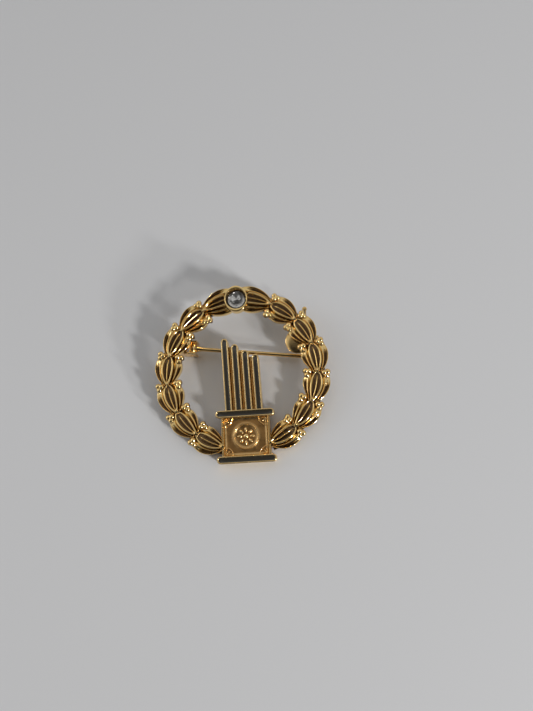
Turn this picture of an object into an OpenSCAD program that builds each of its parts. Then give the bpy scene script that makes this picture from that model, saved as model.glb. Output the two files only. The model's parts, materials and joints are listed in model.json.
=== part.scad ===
// Lapel pin: a laurel wreath with a stone in a bezel, a stepped column on a pedestal with a
// rosette in its sunk field, black enamel fills, and a hinged pin with a turning catch behind.
// Millimetres, +Z up. The pin lies face up, tipped on its back fittings as it rests on a table.
// Local frame of the pin itself: x right, y towards the stone, z out of its face, z = 0 the back.

/* [Wreath] */
// Radius over the outer leaves
wreath_r = 15.0; // [12:0.1:18]
// Width of the band of leaves
band_w = 4.5; // [4:0.05:5]
// Angle of the first node from the stone's axis
node_start = 4.6; // [3:0.1:6]
// Angle from one node to the next
node_step = 22.45; // [20:0.05:24]
// How far the heads of the first cluster, beside the bezel, stand further out
first_lift = 0.45; // [0:0.05:0.6]
// Leaf clusters on each side
clusters = 7; // [5:1:7]
// Half width of a middle leaf
mid_leaf_w = 0.86; // [0.6:0.02:1.2]
// Half width of a side leaf
side_leaf_w = 1.0; // [0.7:0.02:1.2]
// Height of a middle leaf at its head
mid_leaf_h = 1.4; // [1.1:0.02:1.8]
// Height of a side leaf at its head
side_leaf_h = 0.98; // [0.8:0.02:1.4]
// Rise of a leaf from head to tip, so that it lies over the next one
leaf_rise = 0.3; // [0.1:0.02:0.6]
// Depth of the hollows beside a leaf's midrib
leaf_groove = 0.32; // [0.1:0.02:0.5]
// Radius of a berry
berry_r = 0.46; // [0.3:0.01:0.5]

/* [Stone] */
// Radius of the stone at its girdle
stone_r = 1.5; // [1.2:0.05:2]
// Outer radius of the bezel
bezel_r = 2.12; // [1.9:0.01:2.6]
// Height of the bezel over the back
bezel_h = 2.05; // [1.8:0.05:3]
// Distance of the stone's axis from the middle of the wreath
stone_at = 12.8; // [12:0.01:13]

/* [Column] */
// Width of a shaft
shaft_w = 1.18; // [1:0.02:1.5]
// Distance from one shaft to the next
shaft_pitch = 1.69; // [1.5:0.01:2]
// Height of the shafts' rims over the back
shaft_h = 1.9; // [1.5:0.05:2.4]
// Top of the leftmost shaft
top_1 = 5.95; // [5:0.05:8]
// Top of the second shaft
top_2 = 4.85; // [4:0.05:7]
// Top of the third shaft
top_3 = 3.65; // [3:0.05:6]
// Top of the fourth shaft
top_4 = 2.82; // [2:0.05:5]
// Height of the plain strips between the shafts
strip_h = 1.15; // [0.8:0.05:1.6]
// How far a strip stays below the top of the shaft on its right
strip_drop = 0.3; // [0.1:0.05:0.8]
// Width of a raised rim
rim_w = 0.26; // [0.2:0.01:0.35]

/* [Pedestal] */
// Width of the two bars
bar_w = 9.8; // [9:0.05:11]
// Top edge of the capital bar
capital_top = -6.37; // [-7:0.01:-5]
// Bottom edge of the capital bar
capital_low = -7.62; // [-8:0.01:-7]
// Top edge of the plinth bar
plinth_top = -13.85; // [-15:0.01:-13]
// Bottom edge of the plinth bar
plinth_low = -15.1; // [-16:0.01:-15]
// Turn of the pedestal against the wreath
pedestal_turn = -1.4; // [-3:0.1:3]
// Height of the bars over the back
bar_h = 2.05; // [1.6:0.05:2.6]
// Width of the block between the bars
die_w = 8.1; // [7:0.02:9]
// Height of the block's side frames over the back
frame_h = 1.75; // [1.4:0.05:2.2]
// Height of the block's sunk field over the back
field_h = 1.25; // [1:0.05:1.6]
// Height of the ornament over the sunk field
ornament_h = 0.28; // [0.1:0.02:0.4]

/* [Enamel] */
// Thickness of the enamel
enamel_t = 0.3; // [0.2:0.02:0.5]
// How far the enamel lies below the rims
enamel_sink = 0.07; // [0.02:0.01:0.2]

/* [Pin and hinge] */
// Where the hinge's axis stands, right of the middle
hinge_x = -8.6; // [-9:0.05:-6]
// Where the hinge's axis stands, above the middle
hinge_y = 5.43; // [4:0.01:7]
// Slant of the pin, measured from the pin's own level
pin_slant = -9.3; // [-14:0.1:0]
// Depth of the pin's middle line behind the back
pin_depth = 1.45; // [1.4:0.05:2.2]
// Radius of the pin's wire
wire_r = 0.35; // [0.25:0.01:0.45]
// Length of the pin from its hinge
pin_len = 22.9; // [20:0.1:24]
// Radius of the rivet
rivet_r = 0.28; // [0.2:0.01:0.35]

/* [Catch] */
// Where the catch's barrel begins along the pin
barrel_at = 20.4; // [18:0.05:21]
// Length of the catch's barrel
barrel_len = 1.55; // [1:0.05:3]
// Outer radius of the catch's barrel
barrel_r = 1.35; // [1.2:0.05:1.4]
// Radius of the turning core
core_r = 0.9; // [0.8:0.01:0.95]
// Length of the lever from the pin's middle line
lever_len = 8.95; // [4:0.05:10]
// Lean of the lever
lever_lean = 5.9; // [-10:0.1:15]

/* [Hidden] */
$fn = 96;
gap = 0.03;
gilt = "#cfa65a";
brass = "#c2923f";
black = "#262523";
clear = "#dbe2e6";

// Radius of the middle line of the leaves
mid_r = wreath_r - band_w / 2;

// The pin rests on the lower back edge of its plinth and on the barrel of its catch.
pedestal_mid = (capital_top + plinth_low) / 2;
bar_r = (plinth_top - plinth_low) / 2;
bar_end = bar_w / 2 - bar_r;
foot_y = pedestal_mid + (plinth_low + bar_r - pedestal_mid) * cos(pedestal_turn) - bar_end * abs(sin(pedestal_turn)) - bar_r;
reach = hinge_y + (barrel_at + barrel_len) * sin(pin_slant) - foot_y;
rest_tilt = atan(pin_depth / reach) + asin(barrel_r / norm([reach, pin_depth]));
front_y = foot_y * cos(rest_tilt) - bar_h * sin(rest_tilt);
rear_y = (stone_at + bezel_r) * cos(rest_tilt);

// From the pin's own frame to the table
module resting() {
  translate([0, -(front_y + rear_y) / 2, -foot_y * sin(rest_tilt)])
    rotate([rest_tilt, 0, 0])
      children();
}

// From the pedestal's own straight frame to its slight turn
module turned() {
  translate([0, pedestal_mid, 0])
    rotate([0, 0, pedestal_turn])
      translate([0, -pedestal_mid, 0])
        children();
}

// From the frame of the hinge, with x along the pin's wire, to the pin's own frame
module along_pin() {
  translate([hinge_x, hinge_y, -pin_depth])
    rotate([0, 0, pin_slant])
      children();
}

// Wreath
stations = [0.02, 0.1, 0.22, 0.38, 0.55, 0.72, 0.87, 0.98];
shares = [-1, -1, -0.8, -0.42, 0, 0.42, 0.8, 1, 1];
reliefs = [0, -0.3, 0, -1, 0.15, -1, 0, -0.3, 0];

// Half width share of a leaf: an arch at the head, drawn out to a point at the tip
function leaf_share(s) = 2.62 * pow(s, 0.62) * pow(1 - s, 0.78);

// Node angle from the stone's axis
function node_at(k) = node_start + node_step * k;

// Height of a leaf's rim along its length
function rim_height(s, head) = head + leaf_rise * s + 0.14 * sin(180 * s);

// Point of a leaf at station s and point j of its cross-section
function leaf_point(s, j, from, to, r_head, r_tip, bow, half, head, slope) =
  let (a = from + (to - from) * s)
  let (r = r_head + (r_tip - r_head) * s + bow * sin(180 * s) + shares[j] * half * leaf_share(s))
  let (top = rim_height(s, head) - slope * shares[j] * leaf_share(s))
  let (deep = min(1, 1.6 * leaf_share(s)) * leaf_groove)
  let (z = (j == 0 || j == 8) ? 0 : top + reliefs[j] * deep)
  [r * sin(a), r * cos(a), z];

// Faces between the rings of points, cut along one diagonal, and the two ends
function ring_faces(rows, cols) = [
  for (i = [0:rows - 2], j = [0:cols - 1], h = [0, 1])
    let (n = (j + 1) % cols)
    h == 0
      ? [i * cols + j, i * cols + n, (i + 1) * cols + n]
      : [i * cols + j, (i + 1) * cols + n, (i + 1) * cols + j]
];

function end_faces(rows, cols) = [
  [for (j = [0:cols - 1]) cols - 1 - j],
  [for (j = [0:cols - 1]) (rows - 1) * cols + j]
];

// One leaf, solid down to the back, on a curved midline from its head to its tip
module leaf(from, to, r_head, r_tip, bow, half, head, slope) {
  rows = len(stations);
  cols = len(shares);
  points = [
    for (s = stations, j = [0:cols - 1])
      leaf_point(s, j, from, to, r_head, r_tip, bow, half, head, slope)
  ];
  polyhedron(points, concat(ring_faces(rows, cols), end_faces(rows, cols)));
}

// The leaves of a cluster: angle of the head from its node and of the tip from the next one,
// distance of head and tip from the middle line, bow, half width, height, fall to the outside
leaves = [
  [-0.4, 0.9, 1.12, 0.45, 0.38, side_leaf_w, side_leaf_h, 0.14],
  [-0.4, 0.9, -1.1, -0.45, -0.44, side_leaf_w, side_leaf_h, -0.14],
  [-0.2, 1.3, 0, 0, 0, mid_leaf_w, mid_leaf_h, 0]
];

// Three leaves that open at one node and close at the next
module cluster(k) {
  head_r = mid_r + (k == 0 ? first_lift : 0);
  from = k == 0 ? 0 : node_at(k);
  for (p = leaves) {
    leaf(from + p[0], node_at(k + 1) + p[1], head_r + p[2], mid_r + p[3], p[4], p[5], p[6], p[7]);
  }
}

// A berry on its stub, standing on the ground plate
module berry(a, r, z) {
  rotate([0, 0, -a])
    translate([0, r, 0])
      hull() {
        translate([0, 0, z])
          sphere(berry_r, $fn = 8);
        cylinder(h = 0.1, r = berry_r * 0.7, $fn = 8);
      }
}

// Three berries on each side of a node: angle from the node, distance from the middle line, height
berry_places = [
  [-0.5, -1.95, 1.0], [-0.2, -1.35, 1.15], [2.9, -1.75, 0.95],
  [0.2, 1.72, 1.0], [1.0, 1.15, 1.15], [2.8, 1.6, 0.95]
];

module berries(k) {
  for (p = berry_places) {
    berry(node_at(k) + p[0], mid_r + p[1], p[2]);
  }
}

// Ground plate that ties the leaves together behind their gaps
module ground_plate() {
  plate_w = 2.9;
  plate_h = 0.72;
  rotate([0, 0, 90 - node_at(clusters) - 1])
    rotate_extrude(angle = node_at(clusters) - node_start, $fn = 60)
      translate([mid_r - plate_w / 2, 0])
        square([plate_w, plate_h]);
}

// One arm of the wreath, cut clear of the bezel and the pedestal
module wreath_arm(side) {
  resting()
    difference() {
      mirror([side, 0, 0]) {
        ground_plate();
        for (k = [0:clusters - 1]) {
          cluster(k);
        }
        for (k = [1:clusters - 1]) {
          berries(k);
        }
      }
      translate([0, stone_at, -1])
        cylinder(h = 6, r = bezel_r + gap);
      turned() {
        translate([-die_w / 2 - gap, capital_low - 10, -1])
          cube([die_w + 2 * gap, 10, 6]);
        translate([-bar_w / 2 - gap, plinth_low - 1, -1])
          cube([bar_w + 2 * gap, plinth_top - plinth_low + 1 + gap, 6]);
      }
    }
}

module wreath_right() {
  color(gilt)
    wreath_arm(0);
}

module wreath_left() {
  color(gilt)
    wreath_arm(1);
}

// Stone and bezel
girdle_z = 1.42;
seat_depth = 0.95;
cup_floor = 0.35;
foot_r = 1.45;
foot_h = 0.5;
lip_w = 0.3;

// Profile of the bezel: a foot, the wall and its lip, a slope down to the girdle, the stone's seat
module bezel() {
  color(gilt)
    resting()
      translate([0, stone_at, 0])
        rotate_extrude()
          polygon([
            [0, 0], [foot_r, 0], [foot_r, foot_h], [bezel_r - 0.08, foot_h], [bezel_r, foot_h + 0.08],
            [bezel_r, bezel_h - 0.06], [bezel_r - 0.06, bezel_h], [bezel_r - lip_w, bezel_h],
            [stone_r + gap, girdle_z + 0.15], [stone_r + gap, girdle_z - 0.03],
            [stone_r - 0.3, girdle_z - 0.3], [stone_r - 0.5, cup_floor], [0, cup_floor]
          ]);
}

// Round cut: table, upper facets, girdle and lower facets down to the point
module stone() {
  color(clear)
    resting()
      translate([0, stone_at, girdle_z])
        hull() {
          cylinder(h = 0.06, r = stone_r, $fn = 16);
          translate([0, 0, 0.26])
            rotate([0, 0, 22.5])
              cylinder(h = 0.01, r = stone_r * 0.84, $fn = 8);
          translate([0, 0, 0.44])
            cylinder(h = 0.02, r = stone_r * 0.58, $fn = 8);
          translate([0, 0, -0.48])
            cylinder(h = 0.01, r = stone_r * 0.6, $fn = 8);
          translate([0, 0, 0.12 - seat_depth])
            cylinder(h = 0.01, r = 0.05, $fn = 8);
        }
}

// Column
tops = [top_1, top_2, top_3, top_4];
enamel_z = shaft_h - enamel_sink - enamel_t;

function shaft_x(i) = (i - 1.5) * shaft_pitch;

// Flat shape of a shaft: straight sides and a round top
module shaft_shape(i, half) {
  low = capital_top - 0.5;
  translate([shaft_x(i) - half, low])
    square([2 * half, tops[i] - shaft_w / 2 - low]);
  translate([shaft_x(i), tops[i] - shaft_w / 2])
    circle(half);
}

// Room that the capital bar takes from the column's foot
module foot_cut(clearance) {
  turned()
    translate([-bar_w / 2, capital_top - 2, -1])
      cube([bar_w, 2 + clearance, 6]);
}

// Four round-topped shafts on one plate, hollowed for the enamel, with plain strips between
module column() {
  color(gilt)
    resting()
      difference() {
        union() {
          for (i = [0:3]) {
            linear_extrude(shaft_h)
              shaft_shape(i, shaft_w / 2);
          }
          for (i = [0:2]) {
            translate([shaft_x(i), capital_top - 0.5, 0])
              cube([shaft_pitch, tops[i + 1] - strip_drop - capital_top + 0.5, strip_h]);
          }
        }
        for (i = [0:3]) {
          translate([0, 0, enamel_z - gap])
            linear_extrude(2)
              shaft_shape(i, shaft_w / 2 - rim_w);
        }
        foot_cut(gap);
      }
}

module shaft_enamel(i) {
  color(black)
    resting()
      difference() {
        translate([0, 0, enamel_z])
          linear_extrude(enamel_t)
            shaft_shape(i, shaft_w / 2 - rim_w - gap);
        foot_cut(2 * gap);
      }
}

// Pedestal
bar_enamel_z = bar_h - enamel_sink - enamel_t;
frame_w = 0.42;
field_x = die_w / 2 - frame_w;
field_low = plinth_top + 0.02;
field_top = capital_low - 0.02;
field_mid = (plinth_top + capital_low) / 2;

// Flat shape of a bar with round ends, drawn in by a margin
module bar_shape(low, top, margin) {
  r = (top - low) / 2;
  x = bar_w / 2 - r;
  translate([-x, low + margin])
    square([2 * x, top - low - 2 * margin]);
  translate([-x, low + r])
    circle(r - margin);
  translate([x, low + r])
    circle(r - margin);
}

// A straight raised line with round ends
module line(length, half) {
  translate([0, -half, 0])
    cube([length, 2 * half, ornament_h + gap]);
  translate([length, 0, 0])
    cylinder(h = ornament_h + gap, r = half);
}

// Plain ornament for the field: a ringed rosette and a small fan in each corner
module ornament() {
  difference() {
    cylinder(h = ornament_h + gap, r = 2.1);
    translate([0, 0, -1])
      cylinder(h = 3, r = 1.88);
  }
  cylinder(h = ornament_h + 0.12, r = 0.42);
  for (i = [0:7]) {
    rotate([0, 0, i * 45])
      translate([0.72, 0, 0])
        line(0.62, 0.14);
  }
}

module corner_fan() {
  difference() {
    cylinder(h = ornament_h + gap, r = 1.55);
    translate([0, 0, -1])
      cylinder(h = 3, r = 1.36);
    translate([-3, -4, -1])
      cube([6, 4, 3]);
    translate([-4, -3, -1])
      cube([4, 6, 3]);
  }
  for (a = [18, 45, 72]) {
    rotate([0, 0, a])
      translate([0.3, 0, 0])
        line(0.7, 0.09);
  }
}

// Block with sunk field and side frames, between two bars hollowed for the enamel
module pedestal() {
  color(gilt)
    resting()
      turned()
        difference() {
          union() {
            linear_extrude(bar_h)
              bar_shape(capital_low, capital_top, 0);
            linear_extrude(bar_h)
              bar_shape(plinth_low, plinth_top, 0);
            translate([-die_w / 2, plinth_top - 0.1, 0])
              cube([die_w, capital_low - plinth_top + 0.2, field_h]);
            for (side = [-1, 1]) {
              translate([side * (die_w - frame_w) / 2 - frame_w / 2, plinth_top - 0.1, 0])
                cube([frame_w, capital_low - plinth_top + 0.2, frame_h]);
            }
            translate([0, field_mid, field_h - gap])
              ornament();
            for (side = [0, 1], end = [0, 1]) {
              mirror([side, 0, 0])
                translate([-field_x, end == 0 ? field_low : field_top, field_h - gap])
                  mirror([0, end, 0])
                    corner_fan();
            }
          }
          translate([0, 0, bar_enamel_z - gap])
            linear_extrude(2)
              bar_shape(capital_low, capital_top, rim_w);
          translate([0, 0, bar_enamel_z - gap])
            linear_extrude(2)
              bar_shape(plinth_low, plinth_top, rim_w - 0.04);
        }
}

module capital_enamel() {
  color(black)
    resting()
      turned()
        translate([0, 0, bar_enamel_z])
          linear_extrude(enamel_t)
            bar_shape(capital_low, capital_top, rim_w + gap);
}

module plinth_enamel() {
  color(black)
    resting()
      turned()
        translate([0, 0, bar_enamel_z])
          linear_extrude(enamel_t)
            bar_shape(plinth_low, plinth_top, rim_w - 0.04 + gap);
}

// Hinge
ear_in = 0.9;
ear_t = 0.32;
ear_out = ear_in + ear_t;
ear_front = 0.9;
ear_rear = 2.9;
// The lower ear reaches down to the table
ear_y = hinge_y + ear_front * sin(pin_slant) - ear_out * cos(pin_slant);
ear_low = (ear_y - foot_y) * tan(rest_tilt) - pin_depth - 0.02;

// Side view of an ear, x along the pin and y away from the wreath
module ear_shape() {
  corner = 0.7;
  translate([-ear_rear, gap - pin_depth])
    square([ear_rear + ear_front, pin_depth - gap + ear_low - corner]);
  translate([-ear_rear + corner, 0])
    square([ear_rear + ear_front - 2 * corner, ear_low]);
  translate([-ear_rear + corner, ear_low - corner])
    circle(corner);
  translate([ear_front - corner, ear_low - corner])
    circle(corner);
}

// Folded bracket with two ears, soldered behind the wreath
module hinge_bracket() {
  color(brass)
    resting()
      along_pin()
        difference() {
          union() {
            for (side = [0, 1]) {
              mirror([0, side, 0])
                translate([0, ear_out, 0])
                  rotate([90, 0, 0])
                    mirror([0, 1, 0])
                      linear_extrude(ear_t)
                        ear_shape();
            }
            translate([-ear_rear - 0.2, -ear_out, pin_depth - gap - 0.45])
              cube([ear_rear - 0.6, 2 * ear_out, 0.45]);
          }
          rotate([90, 0, 0])
            translate([0, 0, -3])
              cylinder(h = 6, r = rivet_r + 0.02);
        }
}

module hinge_rivet() {
  color(brass)
    resting()
      along_pin()
        rotate([90, 0, 0])
          translate([0, 0, -ear_out - 0.12])
            cylinder(h = 2 * ear_out + 0.24, r = rivet_r);
}

// Knuckle on the rivet, a thicker root, straight wire and a drawn-out point
module pin_stem() {
  taper = 3.5;
  root_len = 1.85;
  root_r = 0.6;
  color(brass)
    resting()
      along_pin()
        difference() {
          union() {
            rotate([90, 0, 0])
              translate([0, 0, 0.06 - ear_in])
                cylinder(h = 2 * ear_in - 0.12, r = 0.68);
            rotate([0, 90, 0])
              translate([0, 0, 0.4])
                cylinder(h = root_len - 0.4, r1 = root_r, r2 = wire_r);
            rotate([0, 90, 0])
              translate([0, 0, root_len])
                cylinder(h = pin_len - taper - root_len, r = wire_r);
            rotate([0, 90, 0])
              translate([0, 0, pin_len - taper])
                cylinder(h = taper, r1 = wire_r, r2 = 0.06);
          }
          rotate([90, 0, 0])
            translate([0, 0, -2])
              cylinder(h = 4, r = rivet_r + 0.04);
        }
}

// Catch
foot_t = 0.5;
pad_t = 0.25;
pad_at = [18.4, 2.35];
pad_r = 2.15;
slot_w = 0.9;
bore_r = wire_r + 0.07;
hub_len = 0.62;
hub_at = barrel_at - 0.06 - hub_len;
lever_w = hub_len - 0.08;
lever_t = 0.52;
lever_end_r = 0.42;

// Round pad and foot soldered behind the wreath, with an open barrel for the core
module catch_base() {
  color(brass)
    resting()
      along_pin()
        difference() {
          union() {
            translate([pad_at[0], pad_at[1], pin_depth - gap - pad_t])
              cylinder(h = pad_t, r = pad_r);
            translate([pad_at[0] + 0.6, 0.95, pin_depth - gap - foot_t])
              cube([barrel_at + barrel_len - pad_at[0] - 0.6, 2.6, foot_t]);
            translate([barrel_at, -1.2, pin_depth - gap - foot_t])
              cube([barrel_len, 4.0, foot_t]);
            rotate([0, 90, 0])
              translate([0, 0, barrel_at])
                cylinder(h = barrel_len, r = barrel_r);
          }
          rotate([0, 90, 0])
            translate([0, 0, barrel_at - 0.5])
              cylinder(h = barrel_len + 1, r = core_r + 0.05);
          translate([barrel_at - 0.5, -slot_w / 2, -3])
            cube([barrel_len + 1, slot_w, 3]);
        }
}

// Core with a slot for the wire, turned by a long flat lever
module catch_rotor() {
  color(brass)
    resting()
      along_pin()
        difference() {
          union() {
            rotate([0, 90, 0])
              translate([0, 0, hub_at])
                cylinder(h = barrel_at + barrel_len - hub_at, r = core_r);
            translate([hub_at + hub_len / 2, 0, -lever_t / 2])
              rotate([0, 0, lever_lean]) {
                translate([-lever_w / 2, 0.5, 0])
                  cube([lever_w, lever_len - lever_end_r - 0.5, lever_t]);
                translate([0, lever_len - lever_end_r, 0])
                  cylinder(h = lever_t, r = lever_end_r);
              }
          }
          rotate([0, 90, 0])
            translate([0, 0, hub_at - 1])
              cylinder(h = barrel_len + 3, r = bore_r);
          translate([hub_at - 1, -bore_r, -3])
            cube([barrel_len + 3, 2 * bore_r, 3]);
        }
}

wreath_left();
wreath_right();
bezel();
stone();
column();
pedestal();
shaft_enamel(0);  // shaft_enamel_1
shaft_enamel(1);  // shaft_enamel_2
shaft_enamel(2);  // shaft_enamel_3
shaft_enamel(3);  // shaft_enamel_4
capital_enamel();
plinth_enamel();
hinge_bracket();
hinge_rivet();
pin_stem();
catch_base();
catch_rotor();
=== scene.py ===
import json
import math

import bpy
import numpy as np
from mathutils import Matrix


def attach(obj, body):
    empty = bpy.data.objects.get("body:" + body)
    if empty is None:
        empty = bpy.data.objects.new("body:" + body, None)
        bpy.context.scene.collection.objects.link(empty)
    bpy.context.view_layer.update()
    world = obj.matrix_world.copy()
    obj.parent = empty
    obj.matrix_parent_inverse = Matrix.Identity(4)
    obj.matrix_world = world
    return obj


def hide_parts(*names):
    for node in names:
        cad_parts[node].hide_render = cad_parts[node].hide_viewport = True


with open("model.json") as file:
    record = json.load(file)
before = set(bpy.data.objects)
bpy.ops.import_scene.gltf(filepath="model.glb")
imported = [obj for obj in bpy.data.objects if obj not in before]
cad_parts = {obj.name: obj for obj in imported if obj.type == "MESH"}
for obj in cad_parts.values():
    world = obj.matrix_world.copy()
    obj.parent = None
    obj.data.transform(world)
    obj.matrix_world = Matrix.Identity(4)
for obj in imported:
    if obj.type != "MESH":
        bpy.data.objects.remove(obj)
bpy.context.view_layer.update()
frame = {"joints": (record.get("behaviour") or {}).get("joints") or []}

# The pin as it lies
# The pin lies face up, tipped on its back fittings. Its pieces are worked out in the frame of the
# pin itself, in millimetres: x right, y towards the stone, z out of its face, z = 0 its flat back.
# The hinge's axle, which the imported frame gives, carries that frame to the table.
HINGE = np.array([-8.6, 5.43, -1.45])
joints = {joint["name"]: joint for joint in frame["joints"]}
axle_at = 1000 * np.array(joints["pin_swing"]["pos_m"])
axle_dir = np.array(joints["pin_swing"]["axis"])
wire_dir = -np.array(joints["catch_turn"]["axis"])
rest_tilt = math.atan2(axle_dir[2], axle_dir[1])
right = np.array([1.0, 0.0, 0.0])
up_face = np.array([0.0, math.cos(rest_tilt), math.sin(rest_tilt)])
out_face = np.cross(right, up_face)


def on_table(points):
    """Points of the pin's frame, in millimetres, as points of the table's frame, in metres:
    the axle's place plus the offset from the axle, turned by the pin's three directions."""
    offset = np.asarray(points, float) - HINGE
    return (axle_at + offset @ np.array([right, up_face, out_face])) / 1000


# Camera
# A hand-held camera over the pin, square on but for 11 degrees from below and 3 from the right. The
# middle of the wreath lies a little left of and below the middle of its picture.
PHOTO_H = 711
FOCAL_PX = 534.0
MIDDLE_PX = (-24.14, 17.843)
CAMERA_AWAY = 91.554
CAMERA_BELOW = math.radians(11)
CAMERA_ASIDE = math.radians(3)
CAMERA_ROLL = math.radians(-4.689)
SENSOR_W = 36
back = np.array([math.tan(CAMERA_ASIDE), -math.tan(CAMERA_BELOW), 1.0])
back /= np.linalg.norm(back)
level = np.cross([0, 1, 0], back)
level /= np.linalg.norm(level)
steep = np.cross(back, level)
cam_right = level * math.cos(CAMERA_ROLL) + steep * math.sin(CAMERA_ROLL)
cam_up = steep * math.cos(CAMERA_ROLL) - level * math.sin(CAMERA_ROLL)
cam_place = CAMERA_AWAY * (back + (cam_up * MIDDLE_PX[1] - cam_right * MIDDLE_PX[0]) / FOCAL_PX)
camera_data = bpy.data.cameras.new("camera")
camera_data.sensor_width = SENSOR_W
camera_data.lens = SENSOR_W * FOCAL_PX / PHOTO_H
camera_data.clip_start = 0.002
camera_data.clip_end = 10
camera = bpy.data.objects.new("camera", camera_data)
bpy.context.scene.collection.objects.link(camera)
turned = np.array([cam_right, cam_up, back]) @ np.array([right, up_face, out_face])
matrix = np.eye(4)
matrix[:3, :3] = turned.T
matrix[:3, 3] = on_table(cam_place)
camera.matrix_world = matrix.T.tolist()
bpy.context.scene.camera = camera

# Wreath
# Two arms of laurel, cast in brass, cut with a graver, polished and gold-plated. Each has seven
# clusters of three leaves with rounded rims and a midrib, six berries between every two clusters,
# and a plate behind the gaps. The first cluster of each runs in under the stone's cup.
WREATH_R = 15.0
BAND_W = 4.5
MID_R = WREATH_R - BAND_W / 2
NODE_START = 4.6
NODE_STEP = 22.45
CLUSTERS = 7
FIRST_LIFT = 0.45
STONE_AT = 12.8
CUP_CLEAR = 1.93
PLATE_HALF = 1.35
PLATE_T = 0.58
PLATE_EDGE = 0.1
# Angles of the head from its node and of the tip from the next one, distances of head and tip from
# the middle line, bow, greatest half width, height at the head, fall across the leaf, widths of rim
# and midrib, shift of the midrib, dip of the inner edge, and the share of the first cluster's leaf
# that the cup takes away
LEAVES = [
    {"head": -0.4, "tip": 0.9, "head_off": 1.2, "tip_off": 0.52, "bow": 0.38, "half": 1.02,
     "height": 0.98, "fall": 0.3, "rim_w": 0.16, "rib_w": 0.3, "shift": 0.1, "dip": 0.5, "cup_cut": 0.12},
    {"head": -0.4, "tip": 0.9, "head_off": -1.14, "tip_off": -0.45, "bow": -0.46, "half": 1.02,
     "height": 0.98, "fall": -0.3, "rim_w": 0.16, "rib_w": 0.34, "shift": -0.25, "dip": -0.5, "cup_cut": 0.12},
    {"head": 0.3, "tip": 1.6, "head_off": 0.0, "tip_off": 0.0, "bow": 0.0, "half": 1.02,
     "height": 1.45, "fall": 0.0, "rim_w": 0.33, "rib_w": 0.22, "shift": 0.0, "dip": 0.0, "cup_cut": 0.31},
]
LEAF_ROWS = 48
LEAF_RISE = 0.3
LEAF_ARCH = 0.14
LOBE_FALL = 0.22
HOLLOW = 0.36
WALL_SHARE = 0.88
VEIN_SHARE = 0.62
VEIN_AT = 0.47
SIDE_WALL = 0.3
# Angle from the node, distance from the middle line, height of the centre
BERRIES = [
    (-0.5, -1.95, 1.0), (-0.2, -1.35, 1.15), (2.9, -1.75, 0.95),
    (0.2, 1.72, 1.0), (1.0, 1.15, 1.15), (2.8, 1.6, 0.95),
]
BERRY_R = 0.5
BERRY_SIDES = 24


def shape(points, hollow_and_shade=None, around=True, along=False, caps=True):
    """One closed skin: a grid of points whose rows join the next row. Each row closes on itself if
    around is set, the last row joins the first if along is set, and flat caps close the two ends."""
    rows, cols = points.shape[:2]
    i, j = np.meshgrid(
        np.arange(rows if along else rows - 1),
        np.arange(cols if around else cols - 1),
        indexing="ij",
    )
    i2, j2 = (i + 1) % rows, (j + 1) % cols
    quads = np.stack([i * cols + j, i * cols + j2, i2 * cols + j2, i2 * cols + j], -1).reshape(-1, 4)
    ends = []
    if caps and not along:
        ends = [np.arange(cols)[::-1].tolist(), ((rows - 1) * cols + np.arange(cols)).tolist()]
    flat = points.reshape(-1, 3)
    a, b, c, d = (flat[quads[:, k]] for k in range(4))
    volume = np.einsum("ij,ij->i", a, np.cross(b, c) + np.cross(c, d)).sum()
    if volume < 0:
        quads = quads[:, ::-1]
        ends = [end[::-1] for end in ends]
    dark = np.zeros(len(flat)) if hollow_and_shade is None else np.broadcast_to(hollow_and_shade, (rows, cols)).ravel()
    return {"points": flat, "faces": quads.tolist() + ends, "hollow_and_shade": dark}


def piece(name, shapes, material, body, node, crease=40, second=None, second_from=None):
    """Joins closed shapes into one piece, which rides on a body and stands for a node. It is shaded
    smooth, with creases where faces meet at more than the crease angle, and its per-point attribute
    is 1 at the bottom of recesses and where shade is painted in full. A second material goes on the shapes
    from a given one on."""
    points, faces, hollow_and_shade, chosen, start = [], [], [], [], 0
    for i, part in enumerate(shapes):
        points.append(part["points"])
        hollow_and_shade.append(part["hollow_and_shade"])
        faces += [[start + corner for corner in face] for face in part["faces"]]
        chosen += [int(second is not None and i >= second_from)] * len(part["faces"])
        start += len(part["points"])
    mesh = bpy.data.meshes.new(name)
    mesh.from_pydata(on_table(np.concatenate(points)).tolist(), [], faces)
    mesh.attributes.new("hollow_and_shade", "FLOAT", "POINT").data.foreach_set(
        "value", np.concatenate(hollow_and_shade).astype(np.float32)
    )
    mesh.shade_smooth()
    mesh.set_sharp_from_angle(angle=math.radians(crease))
    mesh.materials.append(material)
    if second is not None:
        mesh.materials.append(second)
        mesh.polygons.foreach_set("material_index", chosen)
    mesh.update()
    made = bpy.data.objects.new(name, mesh)
    bpy.context.scene.collection.objects.link(made)
    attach(made, body)
    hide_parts(node)
    return made


def smooth(x):
    """Rises from 0 to 1 with level ends: x squared times 3 less 2 x."""
    x = np.clip(x, 0, 1)
    return x * x * (3 - 2 * x)


def bell(distance, half):
    """A soft ridge: e to the power of minus the square of the distance in half widths."""
    return np.exp(-((distance / half) ** 2))


def on_ring(angle, radius, height):
    """Points at an angle clockwise from the stone, in degrees, at a radius and at a height."""
    a = np.radians(angle)
    return np.stack(np.broadcast_arrays(radius * np.sin(a), radius * np.cos(a), height), -1)


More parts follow.
